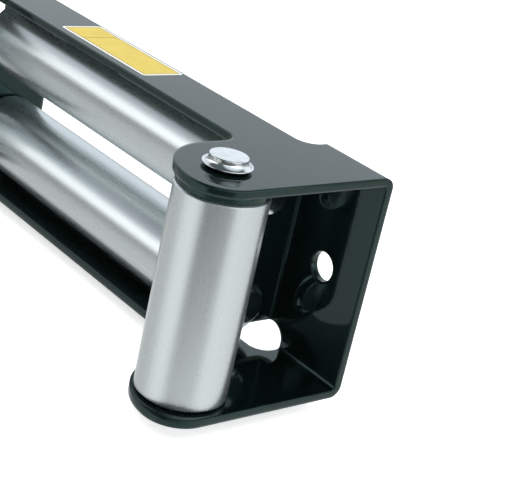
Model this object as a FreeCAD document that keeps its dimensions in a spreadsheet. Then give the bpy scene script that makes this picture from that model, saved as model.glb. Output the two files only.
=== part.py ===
import FreeCAD, Part
import math
import os
import Sketcher

# Four-way roller fairlead. The frame is one folded sheet: a channel that is open to the
# front, with an ear at each corner for the upright rollers and two cheeks folded forward
# out of its window for the rollers that lie across.
#
# Frame of reference: X along the length, Y square to the mounting face, Z up. The origin
# lies on the back face, midway between the two mounting holes. The front is at -Y.

DRIVING_SIZES = (
    ("overall_length", 302.0),
    ("overall_height", 100.0),
    ("sheet", 3.5),
    ("bend_inner_radius", 1.5),
    ("hole_spacing", 254.0),
    ("mounting_hole_radius", 6.5),
    ("roller_radius", 19.0),
    ("tube_wall", 3.0),
    ("tube_chamfer", 0.8),
    ("pin_radius", 6.0),
    ("running_clearance", 0.06),
    ("pin_hole_clearance", 0.15),
    ("end_play", 0.6),
    ("upright_head_play", 1.8),
    ("upright_foot_play", 0.15),
    ("spacer_thickness", 2.2),
    ("spacer_inset", 0.4),
    ("bush_proud", 0.3),
    ("bush_length", 14.0),
    ("head_flange_radius", 10.5),
    ("head_flange_thickness", 1.0),
    ("head_base_radius", 8.9),
    ("head_top_radius", 8.2),
    ("head_height", 5.0),
    ("head_chamfer", 0.5),
    ("washer_radius", 12.0),
    ("washer_bore_clearance", 0.5),
    ("washer_thickness", 2.5),
    ("clip_radius", 10.2),
    ("clip_ring_width", 2.6),
    ("clip_lug_width", 4.4),
    ("clip_mouth_width", 8.4),
    ("clip_thickness", 1.2),
    ("clip_play", 0.1),
    ("groove_depth", 1.0),
    ("pin_tail", 2.6),
    ("pin_tail_chamfer", 1.0),
    ("ear_margin", 3.0),
    ("ear_inner_margin", 6.0),
    ("ear_outer_round", 16.0),
    ("ear_front_flat", 0.5),
    ("row_gap", 8.0),
    ("back_set", 4.0),
    ("flange_gap", 2.1),
    ("strip_depth", 43.0),
    ("strip_corner_radius", 8.0),
    ("end_bay", 46.5),
    ("relief_height", 10.0),
    ("cheek_depth", 40.0),
    ("cheek_corner_radius", 8.0),
    ("window_depth", 15.0),
    ("window_corner_radius", 8.0),
    ("relief_reach", 9.2),
    ("relief_corner_radius", 7.4),
    ("cut_overrun", 10.0),
)

# Lengths that follow from the driving sizes, as expressions on the sheet.
HALF_HEIGHT = "sizes.overall_height / 2"
BEND_OUTER = "(sizes.bend_inner_radius + sizes.sheet)"
EAR_REACH = "(sizes.roller_radius + sizes.ear_margin)"
EAR_WIDTH = "(%s + sizes.roller_radius + sizes.ear_inner_margin)" % EAR_REACH
CROSS_DEPTH = "(sizes.back_set + sizes.roller_radius)"
CROSS_HEIGHT = "(sizes.overall_height / 2 - sizes.sheet - sizes.flange_gap - sizes.roller_radius)"
UPRIGHT_DEPTH = "(%s + 2 * sizes.roller_radius + sizes.row_gap)" % CROSS_DEPTH
UPRIGHT_X = "(sizes.overall_length / 2 - %s)" % EAR_REACH
TIP_DEPTH = "(%s + %s)" % (UPRIGHT_DEPTH, EAR_REACH)
CHEEK_X = "(sizes.overall_length / 2 - sizes.end_bay)"
CHEEK_HALF_HEIGHT = "(sizes.overall_height / 2 - sizes.sheet - sizes.relief_height)"
RELIEF_X = "(%s + sizes.relief_reach)" % CHEEK_X
EAR_INNER_X = "(sizes.overall_length / 2 - %s)" % EAR_WIDTH
EAR_INNER_ROUND = "(%s - sizes.ear_outer_round - sizes.ear_front_flat)" % EAR_WIDTH
BORE_RADIUS = "(sizes.pin_radius + sizes.running_clearance)"
PIN_HOLE_RADIUS = "(sizes.pin_radius + sizes.pin_hole_clearance)"
TUBE_BORE = "(sizes.roller_radius - sizes.tube_wall)"
GROOVE_RADIUS = "(sizes.pin_radius - sizes.groove_depth)"
SPACER_RADIUS = "(sizes.roller_radius - sizes.spacer_inset)"

# The two kinds of seat. The span is measured over the outside of the sheet, ear to ear or
# cheek to cheek, and the gaps lie between the sheet and the bushes. Rollers are modelled
# about Z with the pin's head at the end of +Z, then turned. An upright roller stands on
# its lower bush, so its free play is at the head, where a spacer lies on the upper bush.
CROSS_SEAT = {
    "span": "(2 * %s)" % CHEEK_X,
    "head_gap": "sizes.end_play",
    "clip_gap": "sizes.end_play",
    "spacer": False,
    "turn": FreeCAD.Rotation(FreeCAD.Vector(0, 1, 0), 90),
}
UPRIGHT_SEAT = {
    "span": "sizes.overall_height",
    "head_gap": "(sizes.upright_head_play + sizes.spacer_thickness)",
    "clip_gap": "sizes.upright_foot_play",
    "spacer": True,
    "turn": FreeCAD.Rotation(),
}

# Name of each roller, its kind of seat, and the middle of its pin.
ROLLERS = (
    ("upper", CROSS_SEAT, ("0", "-" + CROSS_DEPTH, CROSS_HEIGHT)),
    ("lower", CROSS_SEAT, ("0", "-" + CROSS_DEPTH, "-" + CROSS_HEIGHT)),
    ("left", UPRIGHT_SEAT, ("-" + UPRIGHT_X, "-" + UPRIGHT_DEPTH, "0")),
    ("right", UPRIGHT_SEAT, (UPRIGHT_X, "-" + UPRIGHT_DEPTH, "0")),
)

doc = FreeCAD.newDocument("RollerFairlead")
sheet = doc.addObject("Spreadsheet::Sheet", "sizes")


def fill_sheet():
    """Write each driving size into the sheet, its name beside it as the cell's alias."""
    for row, (name, size) in enumerate(DRIVING_SIZES, start=1):
        sheet.set("A%d" % row, name)
        sheet.set("B%d" % row, str(size))
        sheet.setAlias("B%d" % row, name)
    doc.recompute()


def value(expression):
    """Number that an expression on the sheet stands for now."""
    return float(sheet.evalExpression(expression))


def new_body(label):
    body = doc.addObject("PartDesign::Body", label)
    body.Label = label
    return body


def new_sketch(body, role, name):
    """Sketch on one of the body's own origin planes."""
    sketch = body.newObject("Sketcher::SketchObject", name)
    plane = next(item for item in body.Origin.OriginFeatures if item.Role == role)
    sketch.AttachmentSupport = [(plane, "")]
    sketch.MapMode = "FlatFace"
    return sketch


def bind(sketch, constraint, expression):
    """Add a dimension and tie it to an expression on the sheet."""
    index = sketch.addConstraint(constraint)
    name = "size%d" % index
    sketch.renameConstraint(index, name)
    sketch.setExpression("Constraints." + name, expression)


def pin_point(sketch, geometry, end, x, y):
    """Hold one point of a curve at two expressions, measured from the sketch's origin."""
    bind(sketch, Sketcher.Constraint("DistanceX", -1, 1, geometry, end, value(x)), x)
    bind(sketch, Sketcher.Constraint("DistanceY", -1, 1, geometry, end, value(y)), y)


def polygon(sketch, corners):
    """Closed outline of straight lines through corners given as pairs of expressions."""
    points = [FreeCAD.Vector(value(x), value(y), 0) for x, y in corners]
    count = len(points)
    first = sketch.GeometryCount
    for i in range(count):
        sketch.addGeometry(Part.LineSegment(points[i], points[(i + 1) % count]), False)
    for i in range(count):
        follower = first + (i + 1) % count
        sketch.addConstraint(Sketcher.Constraint("Coincident", first + i, 2, follower, 1))
    for i, (x, y) in enumerate(corners):
        pin_point(sketch, first + i, 1, x, y)


def circle(sketch, x, y, radius):
    centre = FreeCAD.Vector(value(x), value(y), 0)
    index = sketch.addGeometry(Part.Circle(centre, FreeCAD.Vector(0, 0, 1), value(radius)), False)
    bind(sketch, Sketcher.Constraint("Radius", index, value(radius)), radius)
    pin_point(sketch, index, 3, x, y)


def rounded_outline(sketch, corners):
    """Closed outline of runs along the sketch's axes. Each corner is x, y and its radius,
    all expressions, with None where the corner stays sharp."""
    points = [FreeCAD.Vector(value(x), value(y), 0) for x, y, radius in corners]
    radii = [0.0 if radius is None else value(radius) for x, y, radius in corners]
    count = len(corners)
    ways = [(points[(i + 1) % count] - points[i]).normalize() for i in range(count)]
    lines = []
    for i in range(count):
        start = points[i] + ways[i] * radii[i]
        stop = points[(i + 1) % count] - ways[i] * radii[(i + 1) % count]
        lines.append(sketch.addGeometry(Part.LineSegment(start, stop), False))
    for i, line in enumerate(lines):
        level = abs(ways[i].x) > abs(ways[i].y)
        x, y, radius = corners[i]
        sketch.addConstraint(Sketcher.Constraint("Horizontal" if level else "Vertical", line))
        if level:
            bind(sketch, Sketcher.Constraint("DistanceY", -1, 1, line, 1, value(y)), y)
        else:
            bind(sketch, Sketcher.Constraint("DistanceX", -1, 1, line, 1, value(x)), x)
    for i in range(count):
        before = lines[i - 1]
        after = lines[i]
        if corners[i][2] is None:
            sketch.addConstraint(Sketcher.Constraint("Coincident", before, 2, after, 1))
            continue
        incoming = ways[i - 1]
        outgoing = ways[i]
        centre = points[i] + (outgoing - incoming) * radii[i]
        turns_left = incoming.cross(outgoing).z > 0
        start_way = -outgoing if turns_left else incoming
        start = math.atan2(start_way.y, start_way.x)
        ring = Part.Circle(centre, FreeCAD.Vector(0, 0, 1), radii[i])
        arc = sketch.addGeometry(Part.ArcOfCircle(ring, start, start + math.pi / 2), False)
        near, far = (1, 2) if turns_left else (2, 1)
        sketch.addConstraint(Sketcher.Constraint("Tangent", before, 2, arc, near))
        sketch.addConstraint(Sketcher.Constraint("Tangent", arc, far, after, 1))
        bind(sketch, Sketcher.Constraint("Radius", arc, radii[i]), corners[i][2])


def pad(body, sketch, name, length):
    """Pad to both sides of the sketch's plane by half of the length."""
    feature = body.newObject("PartDesign::Pad", name)
    feature.Profile = sketch
    feature.SideType = "Symmetric"
    feature.setExpression("Length", length)
    doc.recompute()
    return feature


def cut_through(body, sketch, name):
    """Pocket through everything on both sides of the sketch's plane."""
    before = body.Shape.Volume
    feature = body.newObject("PartDesign::Pocket", name)
    feature.Profile = sketch
    feature.SideType = "Symmetric"
    feature.Type = "ThroughAll"
    doc.recompute()
    if body.Shape.Volume > before - 1e-6:
        raise RuntimeError(name + " cuts nothing")
    return feature


def revolve(body, label, corners):
    """Turned piece: its half section lies right of the axis, which is Z."""
    sketch = new_sketch(body, "XZ_Plane", label + "_section")
    polygon(sketch, corners)
    feature = body.newObject("PartDesign::Revolution", label + "_turned")
    feature.Profile = sketch
    feature.ReferenceAxis = (sketch, ["V_Axis"])
    feature.Angle = 360
    doc.recompute()
    return feature


def straight_edges_at(shape, axis, x=None, y=None, z=None):
    """Names of the straight edges along an axis whose middle is at the given sizes."""
    wanted = [(0, x), (1, y), (2, z)]
    names = []
    for number, edge in enumerate(shape.Edges, start=1):
        if edge.Curve.TypeId != "Part::GeomLine" or abs(edge.Curve.Direction[axis]) < 0.999:
            continue
        middle = edge.CenterOfMass
        if all(size is None or abs(abs(middle[i]) - size) < 0.01 for i, size in wanted):
            names.append("Edge%d" % number)
    return names


def round_edges(body, name, edges, radius):
    base = body.Tip
    feature = body.newObject("PartDesign::Fillet", name)
    feature.Base = (base, edges)
    feature.setExpression("Radius", radius)
    doc.recompute()
    return feature


def frame_channel(body):
    """Channel section, open to the front, with both bends."""
    sketch = new_sketch(body, "YZ_Plane", "channel_section")
    top = HALF_HEIGHT
    under_top = HALF_HEIGHT + " - sizes.sheet"
    bottom = "-(%s)" % HALF_HEIGHT
    over_bottom = "-(%s)" % under_top
    tip = "-" + TIP_DEPTH
    inside = "-sizes.sheet"
    rounded_outline(sketch, [
        ("0", bottom, BEND_OUTER),
        ("0", top, BEND_OUTER),
        (tip, top, None),
        (tip, under_top, None),
        (inside, under_top, "sizes.bend_inner_radius"),
        (inside, over_bottom, "sizes.bend_inner_radius"),
        (tip, over_bottom, None),
        (tip, bottom, None),
    ])
    pad(body, sketch, "channel", "sizes.overall_length")


def frame_front_cut(body):
    """Front of both flanges: a narrow strip between the ears."""
    sketch = new_sketch(body, "XY_Plane", "front_cut_outline")
    ahead = "-(%s + sizes.cut_overrun)" % TIP_DEPTH
    strip = "-sizes.strip_depth"
    rounded_outline(sketch, [
        ("-" + EAR_INNER_X, ahead, None),
        (EAR_INNER_X, ahead, None),
        (EAR_INNER_X, strip, "sizes.strip_corner_radius"),
        ("-" + EAR_INNER_X, strip, "sizes.strip_corner_radius"),
    ])
    cut_through(body, sketch, "front_cut")


def frame_window(body):
    """Window through the web, both bends and the back of both flanges."""
    sketch = new_sketch(body, "XY_Plane", "window_outline")
    behind = "sizes.cut_overrun"
    front = "-sizes.window_depth"
    rounded_outline(sketch, [
        ("-" + RELIEF_X, front, "sizes.window_corner_radius"),
        (RELIEF_X, front, "sizes.window_corner_radius"),
        (RELIEF_X, behind, None),
        ("-" + RELIEF_X, behind, None),
    ])
    cut_through(body, sketch, "window")


def frame_cheek(body, side, sign):
    """Cheek folded forward out of the window, with the stretch of web that carries it."""
    sketch = new_sketch(body, "XY_Plane", side + "_cheek_section")
    outer = sign + CHEEK_X
    inner = "%s(%s - sizes.sheet)" % (sign, CHEEK_X)
    root = sign + RELIEF_X
    corners = [
        (root, "0", None),
        (inner, "0", BEND_OUTER),
        (inner, "-sizes.cheek_depth", None),
        (outer, "-sizes.cheek_depth", None),
        (outer, "-sizes.sheet", "sizes.bend_inner_radius"),
        (root, "-sizes.sheet", None),
    ]
    rounded_outline(sketch, corners)
    pad(body, sketch, side + "_cheek", "2 * " + CHEEK_HALF_HEIGHT)


def frame_roundings(body):
    """Round ends of the reliefs, the cheeks' front corners, and the fronts of the ears."""
    half_cheek = value(CHEEK_HALF_HEIGHT)
    relief_wall = "min(sizes.relief_height - sizes.bend_inner_radius; sizes.relief_reach)"
    relief = straight_edges_at(body.Shape, 1, x=value(RELIEF_X), z=half_cheek)
    round_edges(body, "relief_corners", relief, "min(sizes.relief_corner_radius; %s)" % relief_wall)
    front = straight_edges_at(body.Shape, 0, y=value("sizes.cheek_depth"), z=half_cheek)
    round_edges(body, "cheek_corners", front, "sizes.cheek_corner_radius")
    outer = straight_edges_at(
        body.Shape, 2, x=value("sizes.overall_length / 2"), y=value(TIP_DEPTH))
    round_edges(body, "ear_outer_rounds", outer, "sizes.ear_outer_round")
    inner = straight_edges_at(body.Shape, 2, x=value(EAR_INNER_X), y=value(TIP_DEPTH))
    round_edges(body, "ear_inner_rounds", inner, EAR_INNER_ROUND)


def frame_holes(body):
    """Mounting holes in the web, and pin holes in the ears and the cheeks."""
    mounting = new_sketch(body, "XZ_Plane", "mounting_hole_centres")
    ears = new_sketch(body, "XY_Plane", "ear_hole_centres")
    cheeks = new_sketch(body, "YZ_Plane", "cheek_hole_centres")
    for sign in ("", "-"):
        circle(mounting, sign + "sizes.hole_spacing / 2", "0", "sizes.mounting_hole_radius")
        circle(ears, sign + UPRIGHT_X, "-" + UPRIGHT_DEPTH, PIN_HOLE_RADIUS)
        circle(cheeks, "-" + CROSS_DEPTH, sign + CROSS_HEIGHT, PIN_HOLE_RADIUS)
    cut_through(body, mounting, "mounting_holes")
    cut_through(body, ears, "ear_holes")
    cut_through(body, cheeks, "cheek_holes")


def make_frame():
    body = new_body("frame")
    frame_channel(body)
    frame_front_cut(body)
    frame_window(body)
    for side, sign in (("left", "-"), ("right", "")):
        frame_cheek(body, side, sign)
    frame_roundings(body)
    frame_holes(body)
    return body


def make_tube(label, head_face, clip_face):
    """Roller tube: its two bushes stand a little proud of its ends."""
    body = new_body(label)
    top = "(%s - sizes.bush_proud)" % head_face
    bottom = "-(%s - sizes.bush_proud)" % clip_face
    outside = "sizes.roller_radius"
    eased = "sizes.roller_radius - sizes.tube_chamfer"
    revolve(body, label, [
        (TUBE_BORE, bottom),
        (eased, bottom),
        (outside, bottom + " + sizes.tube_chamfer"),
        (outside, top + " - sizes.tube_chamfer"),
        (eased, top),
        (TUBE_BORE, top),
    ])
    return body


def make_ring(label, bore, radius, near, far):
    """Ring on a roller's axis, between two levels."""
    body = new_body(label)
    revolve(body, label, [(bore, far), (radius, far), (radius, near), (bore, near)])
    return body


def make_pin(label, span):
    """Headed pin: the head seats on the frame, the grooved tail passes the washer."""
    body = new_body(label)
    seat = "(%s / 2)" % span
    collar = "(%s + sizes.head_flange_thickness)" % seat
    top = "(%s + sizes.head_height)" % seat
    groove_start = "-(%s + sizes.washer_thickness)" % seat
    groove_stop = "(%s - sizes.clip_thickness - sizes.clip_play)" % groove_start
    tail = "(%s - sizes.pin_tail)" % groove_stop
    revolve(body, label, [
        ("0", tail),
        ("sizes.pin_radius - sizes.pin_tail_chamfer", tail),
        ("sizes.pin_radius", tail + " + sizes.pin_tail_chamfer"),
        ("sizes.pin_radius", groove_stop),
        (GROOVE_RADIUS, groove_stop),
        (GROOVE_RADIUS, groove_start),
        ("sizes.pin_radius", groove_start),
        ("sizes.pin_radius", seat),
        ("sizes.head_flange_radius", seat),
        ("sizes.head_flange_radius", collar),
        ("sizes.head_base_radius", collar),
        ("sizes.head_top_radius", top + " - sizes.head_chamfer"),
        ("sizes.head_top_radius - sizes.head_chamfer", top),
        ("0", top),
    ])
    return body


def make_clip(label, span):
    """Retaining clip: an open ring with three lugs that grip the pin's groove."""
    body = new_body(label)
    level = "-(%s / 2 + sizes.washer_thickness + sizes.clip_thickness / 2)" % span
    inner = "sizes.clip_radius - sizes.clip_ring_width"
    half_lug = "sizes.clip_lug_width / 2"
    half_mouth = "sizes.clip_mouth_width / 2"
    overlap = "sizes.clip_radius - sizes.clip_ring_width / 2"

    ring = new_sketch(body, "XY_Plane", label + "_ring")
    circle(ring, "0", "0", "sizes.clip_radius")
    circle(ring, "0", "0", inner)
    lug = new_sketch(body, "XY_Plane", label + "_lug")
    polygon(lug, [
        ("-" + half_lug, GROOVE_RADIUS + " / 2"),
        (half_lug, GROOVE_RADIUS + " / 2"),
        (half_lug, overlap),
        ("-" + half_lug, overlap),
    ])
    grip = new_sketch(body, "XY_Plane", label + "_grip")
    circle(grip, "0", "0", GROOVE_RADIUS)
    mouth = new_sketch(body, "XY_Plane", label + "_mouth")
    beyond = "-(sizes.clip_radius + sizes.clip_ring_width)"
    polygon(mouth, [
        ("-" + half_mouth, beyond),
        (half_mouth, beyond),
        (half_mouth, "0"),
        ("-" + half_mouth, "0"),
    ])
    for sketch in (ring, lug, grip, mouth):
        sketch.setExpression(".AttachmentOffset.Base.z", level)

    pad(body, ring, label + "_ring_pad", "sizes.clip_thickness")
    first = pad(body, lug, label + "_lug_pad", "sizes.clip_thickness")
    pattern = body.newObject("PartDesign::PolarPattern", label + "_lugs")
    pattern.Originals = [first]
    pattern.Axis = (ring, ["N_Axis"])
    pattern.Angle = 360
    pattern.Occurrences = 3
    body.Tip = pattern
    doc.recompute()
    cut_through(body, grip, label + "_grip_cut")
    cut_through(body, mouth, label + "_mouth_cut")
    return body


def place(body, position, turn):
    """Set a roller's piece, modelled about Z, on the roller's own axis."""
    body.Placement = FreeCAD.Placement(FreeCAD.Vector(*(value(p) for p in position)), turn)
    for letter, expression in zip("xyz", position):
        body.setExpression(".Placement.Base." + letter, expression)


def make_roller(name, seat, position):
    """Tube, its two bushes, the pin with its washer and clip, and an upright's spacer."""
    span = seat["span"]
    head_face = "(%s / 2 - sizes.sheet - %s)" % (span, seat["head_gap"])
    clip_face = "(%s / 2 - sizes.sheet - %s)" % (span, seat["clip_gap"])
    outside = "-(%s / 2)" % span
    under_clip = "-(%s / 2 + sizes.washer_thickness)" % span
    loose_bore = "sizes.pin_radius + sizes.washer_bore_clearance"
    pieces = [make_tube("roller_" + name, head_face, clip_face)]
    for end, sign, face in (("head_end", "", head_face), ("clip_end", "-", clip_face)):
        label = "bush_%s_%s" % (name, end)
        tail = "%s(%s - sizes.bush_length)" % (sign, face)
        pieces.append(make_ring(label, BORE_RADIUS, TUBE_BORE, sign + face, tail))
    pieces.append(make_pin("pin_" + name, span))
    pieces.append(make_ring(
        "washer_" + name, loose_bore, "sizes.washer_radius", outside, under_clip))
    pieces.append(make_clip("clip_" + name, span))
    if seat["spacer"]:
        over_spacer = head_face + " + sizes.spacer_thickness"
        pieces.append(make_ring(
            "spacer_" + name, loose_bore, SPACER_RADIUS, head_face, over_spacer))
    for body in pieces:
        place(body, position, seat["turn"])
    return pieces


def check(pieces):
    """Stop before anything is written if a feature failed or a shape is not sound."""
    for item in doc.Objects:
        if "Invalid" in item.State or "Error" in item.State:
            raise RuntimeError("%s did not recompute: %s" % (item.Label, item.State))
    for body in pieces:
        if body.Shape.isNull() or not body.Shape.isValid():
            raise RuntimeError(body.Label + " is not a valid solid")
        if len(body.Shape.Solids) != 1:
            raise RuntimeError("%s has %d solids" % (body.Label, len(body.Shape.Solids)))


def main():
    fill_sheet()
    pieces = [make_frame()]
    for roller in ROLLERS:
        pieces.extend(make_roller(*roller))
    doc.recompute()
    check(pieces)
    os.makedirs("parts", exist_ok=True)
    for body in pieces:
        body.Shape.exportStep("parts/%s.step" % body.Label)
        print(body.Label, round(body.Shape.Volume, 1))


main()
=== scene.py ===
import math

import bmesh
import bpy
import numpy as np
from mathutils import Matrix, Vector


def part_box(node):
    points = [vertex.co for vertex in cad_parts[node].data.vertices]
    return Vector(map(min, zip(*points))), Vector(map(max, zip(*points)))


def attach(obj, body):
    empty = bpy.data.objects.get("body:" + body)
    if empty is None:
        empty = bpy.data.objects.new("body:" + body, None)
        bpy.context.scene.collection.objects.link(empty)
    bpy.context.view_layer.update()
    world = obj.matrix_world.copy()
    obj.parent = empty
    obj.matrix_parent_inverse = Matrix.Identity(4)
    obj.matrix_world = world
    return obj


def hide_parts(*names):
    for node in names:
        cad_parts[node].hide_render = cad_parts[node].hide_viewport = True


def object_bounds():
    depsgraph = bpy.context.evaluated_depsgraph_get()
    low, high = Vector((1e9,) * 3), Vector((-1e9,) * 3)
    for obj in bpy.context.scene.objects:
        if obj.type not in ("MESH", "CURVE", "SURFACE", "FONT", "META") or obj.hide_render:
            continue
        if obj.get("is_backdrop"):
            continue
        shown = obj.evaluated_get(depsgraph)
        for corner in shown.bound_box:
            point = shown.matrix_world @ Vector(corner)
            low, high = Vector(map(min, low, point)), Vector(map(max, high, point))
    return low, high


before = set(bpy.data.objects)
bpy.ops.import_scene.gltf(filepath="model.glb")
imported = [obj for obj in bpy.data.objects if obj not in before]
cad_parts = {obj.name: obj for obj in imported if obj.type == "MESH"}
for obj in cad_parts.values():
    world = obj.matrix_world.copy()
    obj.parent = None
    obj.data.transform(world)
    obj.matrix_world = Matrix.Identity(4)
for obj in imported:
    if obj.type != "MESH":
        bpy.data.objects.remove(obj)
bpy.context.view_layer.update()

bl_info = {
    "name": "Roller Fairlead Finish",
    "version": (1, 0, 0),
    "blender": (4, 5, 0),
    "location": "3D View > Sidebar > Fairlead",
    "description": "Finishes, turned pins, a blank label and a studio for a fairlead",
    "category": "Material",
}

FRAME_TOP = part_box("frame")[1].z
CROSS_ROLLERS = ("upper", "lower")
UPRIGHT_ROLLERS = ("left", "right")
ROLLERS = CROSS_ROLLERS + UPRIGHT_ROLLERS
X_AXIS, Z_AXIS = 0, 2
MILLIMETRE = 0.001
IMAGE_WIDTH = 512
SENSOR_WIDTH = 36.0
MERGE_DISTANCE = 1e-7
SHARP_ANGLE = math.radians(40.0)
WHITE = (1.0, 1.0, 1.0, 1.0)

# A pattern is a noise: cells to a metre, octaves of detail, strength of the finer ones.
# A range gives the values where an effect starts and is full. Where two more numbers
# follow, the effect goes from one to the other. A bump is a height and a strength.
NOISE_MEAN = 0.5
MIDDLE_THIRD = (0.35, 0.65)
MIDDLE_BAND = (0.3, 0.7)
EDGE_SAMPLES = 8

# Turned metal. Grooves and streaks have their cells to a metre round the axis and along
# it, and their patterns count in those cells.
GROOVE_CELLS = (40.0, 1000.0)
GROOVE_PATTERN = (1.0, 3.0, 0.65)
GROOVE_STRENGTH = 0.5
STREAK_CELLS = (500.0, 40.0)
STREAK_PATTERN = (1.0, 3.0, 0.6)
STREAK_SHADE = 0.985
STREAK_DULLING = 0.01
METAL_GRAIN_PATTERN = (1500.0, 2.0, 0.6)
METAL_GRAIN_BUMP = (0.008 * MILLIMETRE, 0.6)
SPOT_RANGE = (0.58, 0.74)
SPOT_SHADE = 1.25
SPOT_SHARE = 0.25
SPOT_DULLING = 0.04
METAL_EDGE = 0.6 * MILLIMETRE
METAL_METALLIC = 0.96
WASHER_ROUGHNESS = 0.28
WASHER_GROOVE = 0.004 * MILLIMETRE
CLIP_ROUGHNESS = 0.3
CLIP_GROOVE = 0.003 * MILLIMETRE

# Paint. The waves' height is a multiple of the ripple's.
RIPPLE_PATTERN = (420.0, 2.0, 0.5)
RIPPLE_STRENGTH = 1.0
WAVE_PATTERN = (45.0, 2.0, 0.5)
WAVE_HEIGHT = 6.0
WAVE_STRENGTH = 0.5
WAVE_DULLING = 0.03
DUST_PATTERN = (2600.0, 1.0, 0.5)
DUST_RANGE = (0.7, 0.8)
DUST_SHARE = 0.12
DUST_COLOUR = (0.25, 0.27, 0.27, 1.0)
DUST_DULLING = 0.12
PAINT_SHADE_PATTERN = (20.0, 3.0, 0.55)
PAINT_LIGHTER = 1.5
DARK_GLOSS_TINT = (0.62, 1.0, 0.95, 1.0)

# Plastic of the bushes and spacers.
PLASTIC_GRAIN_PATTERN = (1500.0, 2.0, 0.6)
PLASTIC_GRAIN_BUMP = (0.01 * MILLIMETRE, 0.6)
PLASTIC_CLOUD_PATTERN = (90.0, 2.0, 0.5)
PLASTIC_LIGHTER = 1.8
PLASTIC_DULLING = 0.1
PLASTIC_EDGE = 0.3 * MILLIMETRE

# Pins: their bright plating, and the steps of their outline. The skirt ends inside the
# lip's middle by its gap, which is counted in halves of the lip.
PIN_CLOUD_PATTERN = (260.0, 3.0, 0.6)
PIN_DARKER = 0.88
PIN_ROUGHNESS = (0.08, 0.16)
SCRATCH_PATTERN = (3200.0, 2.0, 0.6)
SCRATCH_BUMP = (0.003 * MILLIMETRE, 0.6)
DENT_PATTERN = (420.0, 1.0, 0.5)
DENT_BUMP = (0.08 * MILLIMETRE, 0.5)
PIN_EDGE = 0.2 * MILLIMETRE
PIN_SIDES = 96
LIP_ARC = (-np.pi / 3, 1.1 * np.pi)
LIP_STEPS = 16
SKIRT_STEPS = 20
SKIRT_GAP = 1.3
CROWN_STEPS = 6

# Label: its print, its rings and its swell, whose waves are in radians to a metre.
LABEL_CLOUD_PATTERN = (120.0, 3.0, 0.6)
LABEL_PALER = 1.12
LABEL_GRAIN_PATTERN = (900.0, 2.0, 0.5)
LABEL_GRAIN_BUMP = (0.008 * MILLIMETRE, 0.5)
LABEL_INK = (0.03, 0.03, 0.03, 1.0)
LABEL_BORDER = (0.8, 0.8, 0.74, 1.0)
LABEL_ROUGHNESS = 0.45
LABEL_DULLING = 0.15
LABEL_GLOSS = 0.25
LABEL_SIDES = 256
LABEL_RINGS = 29
RING_POWER = 0.7
SWELL_ALONG = 210.0
SWELL_ACROSS = 170.0
SWELL_HEIGHT = 0.01 * MILLIMETRE

# Floor and lights.
FLOOR_SIDES = 96
FLOOR_RINGS = 40
BEND_STEPS = 24
FLOOR_PATTERN = (300.0, 3.0, 0.6)
FLOOR_DARKER = 0.985
FLOOR_ROUGHNESS = 0.9
OVERHEAD_WAY = (-0.25, 0.15, 1.0)
OVERHEAD_SPREAD = math.radians(110.0)
LEFT_BOX_PLACE = (-0.60, -1.13, 0.36)
LEFT_BOX_SIZE = (1.44, 0.42)
RIGHT_BOX_PLACE = (1.25, 0.22, 0.27)
RIGHT_BOX_SIZE = (1.32, 0.5)

# Surroundings that the metals mirror, by the direction looked in. Its shares along +X,
# +Y and +Z are called across, deep and up. A way is a level direction: across and deep.
SKY_LEVEL = 0.94
SKY_NEAR_END = 0.26
SKY_ABOVE = 0.28
HORIZON = (-0.04, 0.06)
FAR_FLOOR = (-0.38, -0.08, 1.0, 0.55)
NEAR_FLOOR = (-0.75, -0.40, 1.16, 1.0)
CAMERA_WAY = (0.766, -0.643)
CAMERA_RANGE = (0.64, 0.84)
CAMERA_DARK = 0.98
CAMERA_FOOT = (-0.52, -0.37)
CAMERA_TOP = (-0.05, 0.15, 1.0, 0.0)
BOX_WAY = (-0.208, -0.978)
BOX_RANGE = (0.76, 0.91)
BOX_BRIGHT = 0.40
BACK_WAY = (-0.64, 0.77)
BACK_RANGE = (0.50, 0.90)
BACK_BRIGHT = 0.34
FRONT_RANGE = (-0.15, 0.05, 1.0, 0.0)
EDGE_UP = -0.03
EDGE_RANGE = (0.02, 0.09, 1.0, 0.0)
EDGE_DARK = 0.75
BAND_FOOT = (0.02, 0.08)
BAND_TOP = (0.20, 0.42, 1.0, 0.0)
BAND_BRIGHT = 0.4
ROOM_TILT = (0.46, -0.385)
ROOM_RANGE = (0.24, 0.52)
ROOM_NEAR_END = (0.30, 0.70, 1.0, 0.2)


class Wire:
    """One output of a shader node. Arithmetic on it adds Math nodes to its tree."""

    def __init__(self, finish, socket):
        self.finish = finish
        self.socket = socket

    def maths(self, operation, *values):
        sockets = dict(enumerate(values))
        return self.finish.node("ShaderNodeMath", {"operation": operation}, sockets)

    def __add__(self, other):
        return self.maths("ADD", self, other)

    __radd__ = __add__

    def __sub__(self, other):
        return self.maths("SUBTRACT", self, other)

    def __rsub__(self, other):
        return self.maths("SUBTRACT", other, self)

    def __mul__(self, other):
        return self.maths("MULTIPLY", self, other)

    __rmul__ = __mul__

    def size(self):
        return self.maths("ABSOLUTE", self)

    def over(self, limit):
        return self.maths("GREATER_THAN", self, limit)

    def lowest(self, other):
        return self.maths("MINIMUM", self, other)

    def spread(self, low, high, to_low=0.0, to_high=1.0):
        """The value moved from one range to another, eased and held at its ends."""
        sockets = {"Value": self, "From Min": low, "From Max": high}
        sockets.update({"To Min": to_low, "To Max": to_high})
        settings = {"interpolation_type": "SMOOTHSTEP"}
        return self.finish.node("ShaderNodeMapRange", settings, sockets, "Result")


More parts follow.
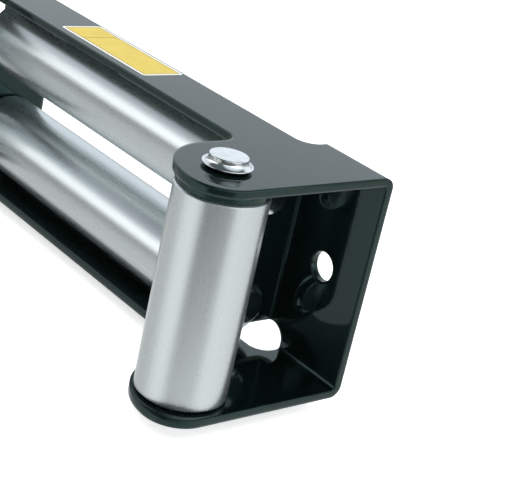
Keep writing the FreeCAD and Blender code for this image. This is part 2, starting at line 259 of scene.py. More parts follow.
class Finish:
    """A material, or the world, whose nodes are added one at a time."""

    def __init__(self, owner):
        owner.use_nodes = True
        self.owner = owner
        self.tree = owner.node_tree
        self.tree.nodes.clear()

    def node(self, kind, settings=None, sockets=None, output=0):
        """Add a node: its settings first, then the values or links of its inputs."""
        made = self.tree.nodes.new(kind)
        for name, value in (settings or {}).items():
            setattr(made, name, value)
        for name, value in (sockets or {}).items():
            socket = made.inputs[name]
            if isinstance(value, Wire):
                self.tree.links.new(value.socket, socket)
            else:
                socket.default_value = value
        return None if output is None else Wire(self, made.outputs[output])

    def place(self, scale=(1.0, 1.0, 1.0), shift=(0.0, 0.0, 0.0)):
        """Object coordinates in metres, scaled and then shifted along each axis."""
        place = self.node("ShaderNodeTexCoord", output="Object")
        sockets = {"Vector": place, "Scale": scale, "Location": shift}
        return self.node("ShaderNodeMapping", {"vector_type": "POINT"}, sockets)

    def turned_place(self, axis, cells):
        """Object coordinates with one scale round an axis and another along it."""
        scale = [cells[0]] * 3
        scale[axis] = cells[1]
        return self.place(scale=scale)

    def axes(self, place):
        """The three numbers of a place."""
        parts = self.node("ShaderNodeSeparateXYZ", sockets={"Vector": place})
        outputs = parts.socket.node.outputs
        return [Wire(self, outputs[letter]) for letter in "XYZ"]

    def noise(self, place, pattern):
        """Noise from 0 to 1 in a pattern: its cells, octaves and their strength."""
        cells, detail, strength = pattern
        sockets = {"Vector": place, "Scale": cells, "Detail": detail}
        sockets["Roughness"] = strength
        return self.node("ShaderNodeTexNoise", sockets=sockets, output="Fac")

    def blend(self, share, first, second):
        """Colour mixed from the first to the second by a share from 0 to 1."""
        settings = {"data_type": "RGBA", "blend_type": "MIX"}
        return self.node("ShaderNodeMix", settings, {0: share, 6: first, 7: second}, 2)

    def bump(self, height, depth, strength, under=None):
        """Normal of a surface that stands up by depth, in metres, where height is 1."""
        sockets = {"Height": height, "Distance": depth, "Strength": strength}
        if under is not None:
            sockets["Normal"] = under
        return self.node("ShaderNodeBump", sockets=sockets, output="Normal")

    def soft_edges(self, radius):
        """Normal that turns smoothly round the sharp edges of a solid."""
        settings = {"samples": EDGE_SAMPLES}
        return self.node("ShaderNodeBevel", settings, {"Radius": radius}, "Normal")

    def surface(self, sockets):
        """Finish the material with one Principled shader."""
        shader = self.node("ShaderNodeBsdfPrincipled", sockets=sockets, output="BSDF")
        self.node("ShaderNodeOutputMaterial", sockets={"Surface": shader}, output=None)
        return self.owner


def shaded(colour, factor):
    """Colour made darker or lighter by a factor, with no channel over 1."""
    return [min(1.0, channel * factor) for channel in colour[:3]] + [1.0]


def turned_metal(name, base_colour, roughness, axis, groove_depth):
    """Turned and zinc-plated steel. Fine grooves run round the piece's own axis, faint
    streaks run along it, and the plating has a small bright grain."""
    finish = Finish(bpy.data.materials.new(name))
    grooves = finish.noise(finish.turned_place(axis, GROOVE_CELLS), GROOVE_PATTERN)
    streaks = finish.noise(finish.turned_place(axis, STREAK_CELLS), STREAK_PATTERN)
    grain = finish.noise(finish.place(), METAL_GRAIN_PATTERN)
    spots = grain.spread(*SPOT_RANGE)
    colour = finish.blend(streaks.spread(*MIDDLE_THIRD),
                          shaded(base_colour, STREAK_SHADE), list(base_colour))
    colour = finish.blend(spots * SPOT_SHARE, colour, shaded(base_colour, SPOT_SHADE))
    dull = streaks.spread(*MIDDLE_BAND, roughness - STREAK_DULLING,
                          roughness + STREAK_DULLING)
    relief = finish.soft_edges(METAL_EDGE)
    relief = finish.bump(grooves, groove_depth, GROOVE_STRENGTH, relief)
    return finish.surface({
        "Base Color": colour,
        "Roughness": dull + spots * SPOT_DULLING,
        "Metallic": METAL_METALLIC,
        "Normal": finish.bump(grain, *METAL_GRAIN_BUMP, relief),
    })


class FairleadPaint(bpy.types.PropertyGroup):
    """Black paint of the folded frame."""

    colour: bpy.props.FloatVectorProperty(
        name="Colour", description="Colour of the paint film", subtype="COLOR",
        size=4, min=0.0, max=1.0, default=(0.0018, 0.0045, 0.004, 1.0))
    roughness: bpy.props.FloatProperty(
        name="Roughness", description="How soft the paint's reflections are",
        min=0.0, max=1.0, default=0.06, subtype="FACTOR")
    gloss: bpy.props.FloatProperty(
        name="Gloss", description="How strong the paint's reflections are",
        min=0.0, max=1.0, default=0.5, subtype="FACTOR")
    edge_radius: bpy.props.FloatProperty(
        name="Edge Radius",
        description="Radius that the paint gives to the sheet's edges",
        min=0.0, default=1.6 * MILLIMETRE, unit="LENGTH", precision=5)
    ripple: bpy.props.FloatProperty(
        name="Ripple", description="Height of the paint's orange-peel ripple",
        min=0.0, default=0.012 * MILLIMETRE, unit="LENGTH", precision=6)


class FairleadMetal(bpy.types.PropertyGroup):
    """Plated and bare metals of the rollers, pins, washers and clips."""

    roller_colour: bpy.props.FloatVectorProperty(
        name="Roller Colour", description="Colour of the rollers' zinc plating",
        subtype="COLOR", size=4, min=0.0, max=1.0, default=(0.675, 0.725, 0.735, 1.0))
    roller_roughness: bpy.props.FloatProperty(
        name="Roller Roughness", description="How satin the rollers are",
        min=0.0, max=1.0, default=0.28, subtype="FACTOR")
    groove_depth: bpy.props.FloatProperty(
        name="Groove Depth", description="Depth of the turning marks round the rollers",
        min=0.0, default=0.004 * MILLIMETRE, unit="LENGTH", precision=6)
    pin_colour: bpy.props.FloatVectorProperty(
        name="Pin Colour", description="Colour of the pins' bright plating",
        subtype="COLOR", size=4, min=0.0, max=1.0, default=(0.86, 0.90, 0.91, 1.0))
    clip_colour: bpy.props.FloatVectorProperty(
        name="Clip Colour", description="Colour of the clips' spring steel",
        subtype="COLOR", size=4, min=0.0, max=1.0, default=(0.3, 0.3, 0.31, 1.0))


class FairleadPins(bpy.types.PropertyGroup):
    """Sizes of the headed pins that the rollers turn on."""

    radius: bpy.props.FloatProperty(
        name="Radius", description="Radius of the shank",
        min=0.0, default=6.0 * MILLIMETRE, unit="LENGTH", precision=4)
    chamfer: bpy.props.FloatProperty(
        name="Chamfer", description="Chamfer of the tail",
        min=0.0, default=1.0 * MILLIMETRE, unit="LENGTH", precision=4)
    tail: bpy.props.FloatProperty(
        name="Tail", description="Length of the tail beyond the clip",
        min=0.0, default=2.6 * MILLIMETRE, unit="LENGTH", precision=4)
    groove_width: bpy.props.FloatProperty(
        name="Groove Width", description="Width of the clip's groove",
        min=0.0, default=1.3 * MILLIMETRE, unit="LENGTH", precision=4)
    groove_radius: bpy.props.FloatProperty(
        name="Groove Radius", description="Radius at the bottom of the clip's groove",
        min=0.0, default=5.0 * MILLIMETRE, unit="LENGTH", precision=4)
    foot_radius: bpy.props.FloatProperty(
        name="Foot Radius", description="Radius of the face that the head sits on",
        min=0.0, default=8.4 * MILLIMETRE, unit="LENGTH", precision=4)
    flange_radius: bpy.props.FloatProperty(
        name="Flange Radius", description="Radius of the head's flange",
        min=0.0, default=10.0 * MILLIMETRE, unit="LENGTH", precision=4)
    flange_height: bpy.props.FloatProperty(
        name="Flange Height",
        description="Height of the flange's raised lip over the seat",
        min=0.0, default=1.8 * MILLIMETRE, unit="LENGTH", precision=4)
    lip: bpy.props.FloatProperty(
        name="Lip", description="Thickness of the flange's raised lip",
        min=0.0, default=0.7 * MILLIMETRE, unit="LENGTH", precision=4)
    head_height: bpy.props.FloatProperty(
        name="Head Height", description="Height of the crown over the seat",
        min=0.0, default=5.0 * MILLIMETRE, unit="LENGTH", precision=4)
    crown_radius: bpy.props.FloatProperty(
        name="Crown Radius", description="Radius of the head's flat crown",
        min=0.0, default=7.7 * MILLIMETRE, unit="LENGTH", precision=4)
    crown_round: bpy.props.FloatProperty(
        name="Crown Round", description="Radius of the crown's edge",
        min=0.0, default=0.4 * MILLIMETRE, unit="LENGTH", precision=4)


class FairleadPlastic(bpy.types.PropertyGroup):
    """Dark plastic of the bushes and spacers."""

    colour: bpy.props.FloatVectorProperty(
        name="Colour", description="Colour of the bushes and spacers", subtype="COLOR",
        size=4, min=0.0, max=1.0, default=(0.003, 0.008, 0.007, 1.0))
    roughness: bpy.props.FloatProperty(
        name="Roughness", description="How dull the plastic is",
        min=0.0, max=1.0, default=0.2, subtype="FACTOR")


class FairleadLabel(bpy.types.PropertyGroup):
    """Blank stick-on label on the upper strip."""

    centre: bpy.props.FloatVectorProperty(
        name="Centre", description="Middle of the label, along and across the strip",
        size=2, subtype="TRANSLATION", unit="LENGTH",
        default=(-6.2 * MILLIMETRE, -27.4 * MILLIMETRE))
    size: bpy.props.FloatVectorProperty(
        name="Size", description="Length and width of the label", size=2, min=0.0,
        subtype="XYZ_LENGTH", unit="LENGTH",
        default=(69.2 * MILLIMETRE, 22.0 * MILLIMETRE))
    corner_radius: bpy.props.FloatProperty(
        name="Corner Radius", description="Radius of the label's corners",
        min=0.0, default=1.6 * MILLIMETRE, unit="LENGTH")
    thickness: bpy.props.FloatProperty(
        name="Thickness", description="Thickness of the label's film",
        min=0.0, default=0.14 * MILLIMETRE, unit="LENGTH", precision=5)
    border: bpy.props.FloatProperty(
        name="Border", description="Width of the pale border",
        min=0.0, default=1.1 * MILLIMETRE, unit="LENGTH")
    line: bpy.props.FloatProperty(
        name="Line", description="Width of the printed frame line",
        min=0.0, default=0.45 * MILLIMETRE, unit="LENGTH")
    divider: bpy.props.FloatProperty(
        name="Divider",
        description="Place of the printed cross line, from the label's far end",
        min=0.0, default=17.0 * MILLIMETRE, unit="LENGTH")
    colour: bpy.props.FloatVectorProperty(
        name="Colour", description="Colour inside the frame line", subtype="COLOR",
        size=4, min=0.0, max=1.0, default=(0.545, 0.41, 0.052, 1.0))


class FairleadStudio(bpy.types.PropertyGroup):
    """Camera, floor, lights and what the metals mirror."""

    camera_place: bpy.props.FloatVectorProperty(
        name="Camera Place", description="Where the camera stands",
        size=3, subtype="TRANSLATION", unit="LENGTH",
        default=(0.49009, -0.39042, 0.21811))
    heading: bpy.props.FloatProperty(
        name="Heading", description="Direction of the view, anticlockwise from +X",
        subtype="ANGLE", unit="ROTATION", default=math.radians(136.26))
    dip: bpy.props.FloatProperty(
        name="Dip", description="How far the view looks down",
        subtype="ANGLE", unit="ROTATION", default=math.radians(22.31))
    roll: bpy.props.FloatProperty(
        name="Roll", description="Turn of the camera about its view",
        subtype="ANGLE", unit="ROTATION", default=math.radians(-12.78))
    focal_pixels: bpy.props.FloatProperty(
        name="Focal Pixels", description="Focal length in pixels of the picture",
        min=1.0, default=1366.56, subtype="PIXEL")
    floor_colour: bpy.props.FloatVectorProperty(
        name="Floor Colour", description="Colour of the pale floor and wall",
        subtype="COLOR", size=4, min=0.0, max=1.0, default=(0.9, 0.9, 0.9, 1.0))
    floor_radius: bpy.props.FloatProperty(
        name="Floor Radius", description="Reach of the level floor round the object",
        min=0.1, default=6.0, unit="LENGTH")
    floor_bend: bpy.props.FloatProperty(
        name="Floor Bend", description="Radius of the bend from the floor to the wall",
        min=0.1, default=2.0, unit="LENGTH")
    wall_height: bpy.props.FloatProperty(
        name="Wall Height", description="Height of the wall's top over the floor",
        min=0.1, default=2.6, unit="LENGTH")
    floor_glow: bpy.props.FloatProperty(
        name="Floor Glow",
        description="Light that the floor gives by itself, as a light table",
        min=0.0, default=0.6)
    backdrop: bpy.props.FloatVectorProperty(
        name="Backdrop", description="Light of the pale backdrop behind the object",
        subtype="COLOR", size=4, min=0.0, default=(1.02, 1.09, 1.17, 1.0))
    mirrored_floor: bpy.props.FloatVectorProperty(
        name="Mirrored Floor", description="Light of the floor as the metals mirror it",
        subtype="COLOR", size=4, min=0.0, default=(0.80, 0.81, 0.80, 1.0))
    shine: bpy.props.FloatVectorProperty(
        name="Shine", description="Light of the band low over the floor's front edge",
        subtype="COLOR", size=4, min=0.0, default=(1.10, 1.09, 1.08, 1.0))
    dim_room: bpy.props.FloatVectorProperty(
        name="Dim Room",
        description="Light of the room overhead and on the camera's side",
        subtype="COLOR", size=4, min=0.0, default=(0.10, 0.12, 0.125, 1.0))
    overhead: bpy.props.FloatProperty(
        name="Overhead", description="Strength of the broad light overhead",
        min=0.0, default=3.2)
    left_box: bpy.props.FloatProperty(
        name="Left Box", description="Power of the light box at the front left",
        min=0.0, default=1.2, unit="POWER")
    right_box: bpy.props.FloatProperty(
        name="Right Box", description="Power of the light box at the near end",
        min=0.0, default=2.1, unit="POWER")


def dress(names, material):
    """Give CAD nodes their finish: all slots of each take the same material."""
    for name in names:
        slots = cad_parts[name].material_slots
        if not slots:
            raise RuntimeError(name + " has no material slot")
        for slot in slots:
            slot.material = material


def into_scene(name, data):
    """New object with its mesh, light or camera, linked into the scene."""
    made = bpy.data.objects.new(name, data)
    bpy.context.scene.collection.objects.link(made)
    return made


def surface_mesh(name, points, faces):
    """Mesh object from arrays of points and of four-sided faces."""
    mesh = bpy.data.meshes.new(name)
    mesh.vertices.add(len(points))
    mesh.vertices.foreach_set("co", points.astype(np.float32).ravel())
    mesh.loops.add(faces.size)
    mesh.loops.foreach_set("vertex_index", faces.astype(np.int32).ravel())
    mesh.polygons.add(len(faces))
    starts = np.arange(len(faces), dtype=np.int32) * faces.shape[1]
    mesh.polygons.foreach_set("loop_start", starts)
    mesh.update(calc_edges=True)
    joined = bmesh.new()
    joined.from_mesh(mesh)
    bmesh.ops.remove_doubles(joined, verts=joined.verts, dist=MERGE_DISTANCE)
    bmesh.ops.recalc_face_normals(joined, faces=joined.faces)
    joined.to_mesh(mesh)
    joined.free()
    mesh.shade_smooth()
    mesh.set_sharp_from_angle(angle=SHARP_ANGLE)
    return into_scene(name, mesh)


def ring_faces(rings, around):
    """Four-sided faces between neighbouring rings of a grid that closes round."""
    ring, step = np.meshgrid(np.arange(rings - 1), np.arange(around), indexing="ij")
    ahead = (step + 1) % around
    corners = [ring * around + step, ring * around + ahead]
    corners += [(ring + 1) * around + ahead, (ring + 1) * around + step]
    return np.stack(corners, axis=-1).reshape(-1, 4)


class FAIRLEAD_OT_paint_frame(bpy.types.Operator):
    """Paint the folded frame"""

    bl_idname = "fairlead.paint_frame"
    bl_label = "Paint Frame"

    def execute(self, context):
        paint = context.scene.fairlead_paint
        finish = Finish(bpy.data.materials.new("frame_paint"))
        place = finish.place()
        ripple = finish.noise(place, RIPPLE_PATTERN)
        waves = finish.noise(place, WAVE_PATTERN)
        dust = finish.noise(place, DUST_PATTERN).spread(*DUST_RANGE)
        shade = finish.noise(place, PAINT_SHADE_PATTERN).spread(*MIDDLE_THIRD)
        lighter = shaded(paint.colour, PAINT_LIGHTER)
        colour = finish.blend(shade, list(paint.colour), lighter)
        colour = finish.blend(dust * DUST_SHARE, colour, DUST_COLOUR)
        rough = paint.roughness + (waves - NOISE_MEAN) * WAVE_DULLING
        relief = finish.soft_edges(paint.edge_radius)
        relief = finish.bump(waves, paint.ripple * WAVE_HEIGHT, WAVE_STRENGTH, relief)
        relief = finish.bump(ripple, paint.ripple, RIPPLE_STRENGTH, relief)
        dress(["frame"], finish.surface({
            "Base Color": colour,
            "Roughness": rough + dust * DUST_DULLING,
            "Specular Tint": DARK_GLOSS_TINT,
            "Specular IOR Level": paint.gloss,
            "Normal": relief,
        }))
        return {"FINISHED"}


class FAIRLEAD_OT_finish_rollers(bpy.types.Operator):
    """Give the four rollers their turned and plated finish"""

    bl_idname = "fairlead.finish_rollers"
    bl_label = "Finish Rollers"

    def execute(self, context):
        metal = context.scene.fairlead_metal
        for names, axis in ((CROSS_ROLLERS, X_AXIS), (UPRIGHT_ROLLERS, Z_AXIS)):
            steel = turned_metal(
                "roller_steel_" + "xyz"[axis], metal.roller_colour,
                metal.roller_roughness, axis, metal.groove_depth)
            dress(["roller_" + name for name in names], steel)
        return {"FINISHED"}


class FAIRLEAD_OT_finish_bushes(bpy.types.Operator):
    """Give the bushes and spacers their dark plastic"""

    bl_idname = "fairlead.finish_bushes"
    bl_label = "Finish Bushes"

    def execute(self, context):
        plastic = context.scene.fairlead_plastic
        finish = Finish(bpy.data.materials.new("bush_plastic"))
        place = finish.place()
        grain = finish.noise(place, PLASTIC_GRAIN_PATTERN)
        cloud = finish.noise(place, PLASTIC_CLOUD_PATTERN).spread(*MIDDLE_BAND)
        lighter = shaded(plastic.colour, PLASTIC_LIGHTER)
        edges = finish.soft_edges(PLASTIC_EDGE)
        names = ["spacer_" + name for name in UPRIGHT_ROLLERS]
        for name in ROLLERS:
            names += ["bush_%s_head_end" % name, "bush_%s_clip_end" % name]
        dress(names, finish.surface({
            "Base Color": finish.blend(cloud, list(plastic.colour), lighter),
            "Roughness": plastic.roughness + (grain - NOISE_MEAN) * PLASTIC_DULLING,
            "Specular Tint": DARK_GLOSS_TINT,
            "Normal": finish.bump(grain, *PLASTIC_GRAIN_BUMP, edges),
        }))
        return {"FINISHED"}


class FAIRLEAD_OT_turn_pins(bpy.types.Operator):
    """Turn the four headed pins"""

    bl_idname = "fairlead.turn_pins"
    bl_label = "Turn Pins"

    def execute(self, context):
        pins = context.scene.fairlead_pins
        plating = self.plating(context.scene.fairlead_metal)
        for name in ROLLERS:
            piece = self.shape(name, pins)
            piece.data.materials.append(plating)
            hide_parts("pin_" + name)
            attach(piece, "base")
        return {"FINISHED"}

    def outline(self, pins, length):
        """Half section of a pin, as distances from its axis and from its tail. The tail
        has a chamfer and a groove, and the shank runs up to the seat. The head's foot
        steps out from the shank at the seat. The lip is an arc of a circle whose middle
        is at the flange's radius and height, each less half the lip's thickness. The
        skirt's distance from the axis grows with the cube of the way down from the
        crown to the lip, and a quarter circle rounds the crown's edge."""
        seat = length - pins.head_height
        low, high = pins.tail, pins.tail + pins.groove_width
        shank = [
            (0.0, 0.0), (pins.radius - pins.chamfer, 0.0), (pins.radius, pins.chamfer),
            (pins.radius, low), (pins.groove_radius, low), (pins.groove_radius, high),
            (pins.radius, high), (pins.radius, seat)]
        half = pins.lip / 2
        ring, rise = pins.flange_radius - half, pins.flange_height - half
        turn = np.linspace(*LIP_ARC, LIP_STEPS)
        lip = np.stack([
            ring + half * np.cos(turn), rise + half * np.sin(turn)], axis=-1)
        down = np.linspace(1.0, 0.0, SKIRT_STEPS)
        reach = ring - SKIRT_GAP * half - pins.crown_radius
        drop = pins.head_height - pins.crown_round - rise + half / 2
        skirt = np.stack([
            pins.crown_radius + reach * down ** 3,
            pins.head_height - pins.crown_round - drop * down], axis=-1)
        turn = np.linspace(0.0, np.pi / 2, CROWN_STEPS)[1:]
        crown = np.stack([
            pins.crown_radius - pins.crown_round * (1 - np.cos(turn)),
            pins.head_height - pins.crown_round * (1 - np.sin(turn))], axis=-1)
        foot = [(pins.foot_radius, 0.0)]
        head = np.concatenate([foot, lip, skirt, crown, [(0.0, pins.head_height)]])
        return np.concatenate([shank, head + (0.0, seat)])

    def shape(self, name, pins):
        """Surface of a pin: its half section turned round the axis. A point is the axis
        point at its height, plus its distance from the axis along the cosine and the
        sine of the turn. The head is at the end away from the washer."""
        low, high = (np.array(corner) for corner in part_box("pin_" + name))
        washer = sum(np.array(corner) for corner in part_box("washer_" + name)) / 2
        axis = int(np.argmax(high - low))
        middle = (low + high) / 2
        length = high[axis] - low[axis]
        way = math.copysign(1.0, middle[axis] - washer[axis])
        outline = self.outline(pins, length)
        angle = np.arange(PIN_SIDES) * 2 * np.pi / PIN_SIDES
        points = np.zeros((len(outline), PIN_SIDES, 3))
        points[..., axis] = (outline[:, 1] - length / 2)[:, None] * way
        points[..., (axis + 1) % 3] = outline[:, :1] * np.cos(angle)
        points[..., (axis + 2) % 3] = outline[:, :1] * np.sin(angle)
        points = (points + middle).reshape(-1, 3)
        faces = ring_faces(len(outline), PIN_SIDES)
        return surface_mesh("turned_pin_" + name, points, faces)

    def plating(self, metal):
        """Bright zinc plating with faint clouds, shallow dents and fine scratches."""
        finish = Finish(bpy.data.materials.new("pin_plating"))
        place = finish.place()
        cloud = finish.noise(place, PIN_CLOUD_PATTERN)
        scratch = finish.noise(place, SCRATCH_PATTERN)
        dents = finish.noise(place, DENT_PATTERN)
        darker = shaded(metal.pin_colour, PIN_DARKER)
        shade = cloud.spread(*MIDDLE_THIRD)
        relief = finish.bump(dents, *DENT_BUMP, finish.soft_edges(PIN_EDGE))
        return finish.surface({
            "Base Color": finish.blend(shade, darker, list(metal.pin_colour)),
            "Roughness": cloud.spread(*MIDDLE_BAND, *PIN_ROUGHNESS),
            "Metallic": 1.0,
            "Normal": finish.bump(scratch, *SCRATCH_BUMP, relief),
        })


class FAIRLEAD_OT_finish_fasteners(bpy.types.Operator):
    """Give the washers and clips their steel"""

    bl_idname = "fairlead.finish_fasteners"
    bl_label = "Finish Washers and Clips"

    def execute(self, context):
        metal = context.scene.fairlead_metal
        washer = turned_metal(
            "washer_steel", metal.roller_colour, WASHER_ROUGHNESS, Z_AXIS,
            WASHER_GROOVE)
        dress(["washer_" + name for name in ROLLERS], washer)
        clip = turned_metal(
            "clip_steel", metal.clip_colour, CLIP_ROUGHNESS, Z_AXIS, CLIP_GROOVE)
        dress(["clip_" + name for name in ROLLERS], clip)
        return {"FINISHED"}


class FAIRLEAD_OT_add_label(bpy.types.Operator):
    """Stick a blank label on the upper strip"""

    bl_idname = "fairlead.add_label"
    bl_label = "Add Label"

    def execute(self, context):
        label = context.scene.fairlead_label
        piece = self.shape(label)
        piece.data.materials.append(self.film(label))
        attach(piece, "base")
        return {"FINISHED"}

    def shape(self, label):
        """Thin film with rounded corners. A point is given by an angle round the middle
        and a share of the way out. Its outline is a rectangle less the corner radius on
        each side, plus that radius along the angle, and the inner rings shrink it in
        proportion. The shares are even steps to a power under one, which brings the
        rings closer towards the rim. The film lies level and swells a little: a sine
        along it, times a cosine across it, times one less the fourth power of the
        share, so that the swell fades out at the rim. The last two rings drop to the
        strip and close the film flat underneath."""
        shares = np.linspace(0.0, 1.0, LABEL_RINGS) ** RING_POWER
        shares = np.concatenate([shares, [1.0, 0.0]])
        angle = (np.arange(LABEL_SIDES) + 0.5) * 2 * np.pi / LABEL_SIDES
        half = np.array(label.size) / 2 - label.corner_radius
        way = np.stack([np.cos(angle), np.sin(angle)], axis=-1)
        rim = np.sign(way) * half + way * label.corner_radius
        flat = shares[:, None, None] * rim
        swell = np.sin(flat[..., 0] * SWELL_ALONG) * np.cos(flat[..., 1] * SWELL_ACROSS)
        swell = swell * SWELL_HEIGHT * (1.0 - shares[:, None] ** 4)
        level = FRAME_TOP + label.thickness + swell
        level[-2:] = FRAME_TOP
        points = np.concatenate([
            flat + np.array(label.centre), level[..., None]], axis=-1)
        faces = ring_faces(len(shares), LABEL_SIDES)
        return surface_mesh("label", points.reshape(-1, 3), faces)

    def film(self, label):
        """Printed film: a pale border, a thin dark frame line with one cross line, and
        plain yellow inside."""
        finish = Finish(bpy.data.materials.new("label_film"))
        shift = (-label.centre[0], -label.centre[1], 0.0)
        across, deep = finish.axes(finish.place(shift=shift))[:2]
        inset_x = label.size[0] / 2 - across.size()
        inset_y = label.size[1] / 2 - deep.size()
        inset = inset_x.lowest(inset_y)
        inside = inset.over(label.border)
        past_line = inset.over(label.border + label.line)
        cross = (across + (label.size[0] / 2 - label.divider)).size()
        on_cross = inside * (1.0 - cross.over(label.line / 2))
        place = finish.place()
        cloud = finish.noise(place, LABEL_CLOUD_PATTERN).spread(*MIDDLE_BAND)
        paler = shaded(label.colour, LABEL_PALER)
        yellow = finish.blend(cloud, list(label.colour), paler)
        colour = finish.blend(inside, LABEL_BORDER, LABEL_INK)
        colour = finish.blend(past_line, colour, yellow)
        colour = finish.blend(on_cross, colour, LABEL_INK)
        grain = finish.noise(place, LABEL_GRAIN_PATTERN)
        return finish.surface({
            "Base Color": colour,
            "Roughness": LABEL_ROUGHNESS + (grain - NOISE_MEAN) * LABEL_DULLING,
            "Specular IOR Level": LABEL_GLOSS,
            "Normal": finish.bump(grain, *LABEL_GRAIN_BUMP),
        })


class FAIRLEAD_OT_set_studio(bpy.types.Operator):
    """Set the floor, the lights and the camera"""

    bl_idname = "fairlead.set_studio"
    bl_label = "Set Studio"

    def execute(self, context):
        studio = context.scene.fairlead_studio
        self.lay_floor(studio)
        self.light_sky(context.scene, studio)
        self.hang_sun("overhead_light", OVERHEAD_WAY, studio.overhead)
        self.add_box("left_box", LEFT_BOX_PLACE, LEFT_BOX_SIZE, studio.left_box)
        self.add_box("right_box", RIGHT_BOX_PLACE, RIGHT_BOX_SIZE, studio.right_box)
        self.set_camera(context.scene, studio)
        context.scene.view_settings.view_transform = "Standard"
        return {"FINISHED"}

    def lay_floor(self, studio):
        """Floor under the lowest point of the object, and the wall round it: a profile
        turned about the middle. It runs level to the floor's radius, with its rings at
        the squares of even steps, then up through a quarter circle and straight up the
        wall."""
        turn = np.linspace(0.0, np.pi / 2, BEND_STEPS)[1:]
        reach = np.concatenate([
            np.linspace(0.0, 1.0, FLOOR_RINGS) ** 2 * studio.floor_radius,
            studio.floor_radius + studio.floor_bend * np.sin(turn),
            [studio.floor_radius + studio.floor_bend]])
        rise = np.concatenate([
            np.zeros(FLOOR_RINGS), studio.floor_bend * (1.0 - np.cos(turn)),
            [studio.wall_height]])
        angle = np.arange(FLOOR_SIDES) * 2 * np.pi / FLOOR_SIDES
        height = np.repeat(rise[:, None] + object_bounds()[0].z, FLOOR_SIDES, axis=1)
        points = np.stack([
            reach[:, None] * np.cos(angle), reach[:, None] * np.sin(angle), height],
            axis=-1)
        faces = ring_faces(len(reach), FLOOR_SIDES)
        floor = surface_mesh("floor", points.reshape(-1, 3), faces)
        finish = Finish(bpy.data.materials.new("floor_paper"))
        grain = finish.noise(finish.place(), FLOOR_PATTERN)
        darker = shaded(studio.floor_colour, FLOOR_DARKER)
        floor.data.materials.append(finish.surface({
            "Base Color": finish.blend(grain, darker, list(studio.floor_colour)),
            "Roughness": FLOOR_ROUGHNESS,
            "Emission Color": WHITE,
            "Emission Strength": studio.floor_glow,
        }))
        floor.visible_glossy = False
        floor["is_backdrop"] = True

    def light_sky(self, scene, studio):
        """Pale surroundings, brighter towards the near end, by the left box and at the
        back. Above, they fade into a dim room, sooner on the camera's side and less
        towards the near end. Below the horizon they are the floor as the metals mirror
        it: brightest straight down, duller towards its far edge, and dark in a belt
        under the camera. In front, the floor has a thin dark edge at the horizon, and
        a bright neutral band stands over it."""
        scene.world = scene.world or bpy.data.worlds.new("studio_sky")
        sky = Finish(scene.world)
        across, deep, up = sky.axes(sky.node("ShaderNodeTexCoord", output="Generated"))

        def near(way, span):
            return (across * way[0] + deep * way[1]).spread(*span)

        camera = near(CAMERA_WAY, CAMERA_RANGE)
        camera = camera * up.spread(*CAMERA_FOOT) * up.spread(*CAMERA_TOP)
        box, back = near(BOX_WAY, BOX_RANGE), near(BACK_WAY, BACK_RANGE)
        level = SKY_LEVEL + across * SKY_NEAR_END
        level = level + box * BOX_BRIGHT + back * BACK_BRIGHT - camera * CAMERA_DARK
        level = level * up.spread(*FAR_FLOOR) * up.spread(*NEAR_FLOOR)
        above = up.spread(*HORIZON)
        level = level + above * SKY_ABOVE
        front = deep.spread(*FRONT_RANGE)
        edge = (up - EDGE_UP).size().spread(*EDGE_RANGE) * front
        band = up.spread(*BAND_FOOT) * up.spread(*BAND_TOP) * front
        level = level * (1.0 - edge * EDGE_DARK + band * BAND_BRIGHT)
        pale = sky.blend(above, list(studio.mirrored_floor), list(studio.backdrop))
        pale = sky.blend(band, pale, list(studio.shine))
        pale = sky.node(
            "ShaderNodeVectorMath", {"operation": "SCALE"}, {0: pale, "Scale": level})
        room = up + across * ROOM_TILT[0] + deep * ROOM_TILT[1]
        dim = room.spread(*ROOM_RANGE) * across.spread(*ROOM_NEAR_END)
        colour = sky.blend(dim, pale, list(studio.dim_room))
        background = sky.node("ShaderNodeBackground", sockets={"Color": colour})
        sky.node("ShaderNodeOutputWorld", sockets={"Surface": background}, output=None)

    def face_middle(self, light, way):
        """Turn a light that shines from one way so that it faces the middle."""
        light.rotation_euler = (-Vector(way)).to_track_quat("-Z", "Y").to_euler()

    def hang_sun(self, name, way, strength):
        """Very broad, even light that comes from one side of the sky."""
        data = bpy.data.lights.new(name, "SUN")
        data.energy = strength
        data.angle = OVERHEAD_SPREAD
        light = into_scene(name, data)
        self.face_middle(light, way)
        light.visible_glossy = False

    def add_box(self, name, place, size, power):
        """Long low light box that faces the object."""
        data = bpy.data.lights.new(name, "AREA")
        data.shape = "RECTANGLE"
        data.size, data.size_y = size
        data.energy = power
        light = into_scene(name, data)
        light.location = place
        self.face_middle(light, place)
        light.visible_camera = False

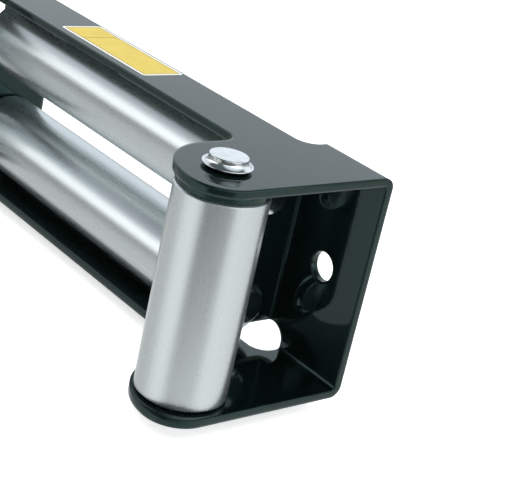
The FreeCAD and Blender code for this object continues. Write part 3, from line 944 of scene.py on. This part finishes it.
    def set_camera(self, scene, studio):
        """Camera at the photograph's place: its axes are worked out from the heading,
        the dip and the roll."""
        head, dip, roll = studio.heading, studio.dip, studio.roll
        ahead = Vector((
            math.cos(dip) * math.cos(head), math.cos(dip) * math.sin(head),
            -math.sin(dip)))
        side = ahead.cross(Vector((0.0, 0.0, 1.0))).normalized()
        down = ahead.cross(side)
        right = side * math.cos(roll) + down * math.sin(roll)
        below = down * math.cos(roll) - side * math.sin(roll)
        data = bpy.data.cameras.new("camera")
        data.sensor_width = SENSOR_WIDTH
        data.lens = studio.focal_pixels / IMAGE_WIDTH * SENSOR_WIDTH
        camera = into_scene("camera", data)
        turn = Matrix((right, -below, -ahead)).transposed().to_4x4()
        camera.matrix_world = Matrix.Translation(Vector(studio.camera_place)) @ turn
        scene.camera = camera


class FAIRLEAD_PT_finish(bpy.types.Panel):
    """Settings and steps of the fairlead's finish"""

    bl_idname = "FAIRLEAD_PT_finish"
    bl_label = "Roller Fairlead"
    bl_space_type = "VIEW_3D"
    bl_region_type = "UI"
    bl_category = "Fairlead"

    def draw(self, context):
        for step in STEPS:
            self.layout.operator(step.bl_idname)
        for name, kind in SETTINGS.items():
            box = self.layout.box()
            box.label(text=kind.__doc__.rstrip("."))
            for setting in kind.__annotations__:
                box.prop(getattr(context.scene, name), setting)


SETTINGS = {
    "fairlead_paint": FairleadPaint,
    "fairlead_metal": FairleadMetal,
    "fairlead_pins": FairleadPins,
    "fairlead_plastic": FairleadPlastic,
    "fairlead_label": FairleadLabel,
    "fairlead_studio": FairleadStudio,
}
STEPS = (
    FAIRLEAD_OT_paint_frame,
    FAIRLEAD_OT_finish_rollers,
    FAIRLEAD_OT_finish_bushes,
    FAIRLEAD_OT_turn_pins,
    FAIRLEAD_OT_finish_fasteners,
    FAIRLEAD_OT_add_label,
    FAIRLEAD_OT_set_studio,
)


def register():
    for kind in (*SETTINGS.values(), *STEPS, FAIRLEAD_PT_finish):
        bpy.utils.register_class(kind)
    for name, kind in SETTINGS.items():
        setattr(bpy.types.Scene, name, bpy.props.PointerProperty(type=kind))


def unregister():
    for name in SETTINGS:
        delattr(bpy.types.Scene, name)
    for kind in (FAIRLEAD_PT_finish, *reversed(STEPS), *reversed(SETTINGS.values())):
        bpy.utils.unregister_class(kind)


def main():
    register()
    bpy.ops.fairlead.paint_frame()
    bpy.ops.fairlead.finish_rollers()
    bpy.ops.fairlead.finish_bushes()
    bpy.ops.fairlead.turn_pins()
    bpy.ops.fairlead.finish_fasteners()
    bpy.ops.fairlead.add_label()
    bpy.ops.fairlead.set_studio()


if __name__ == "__main__":
    main()
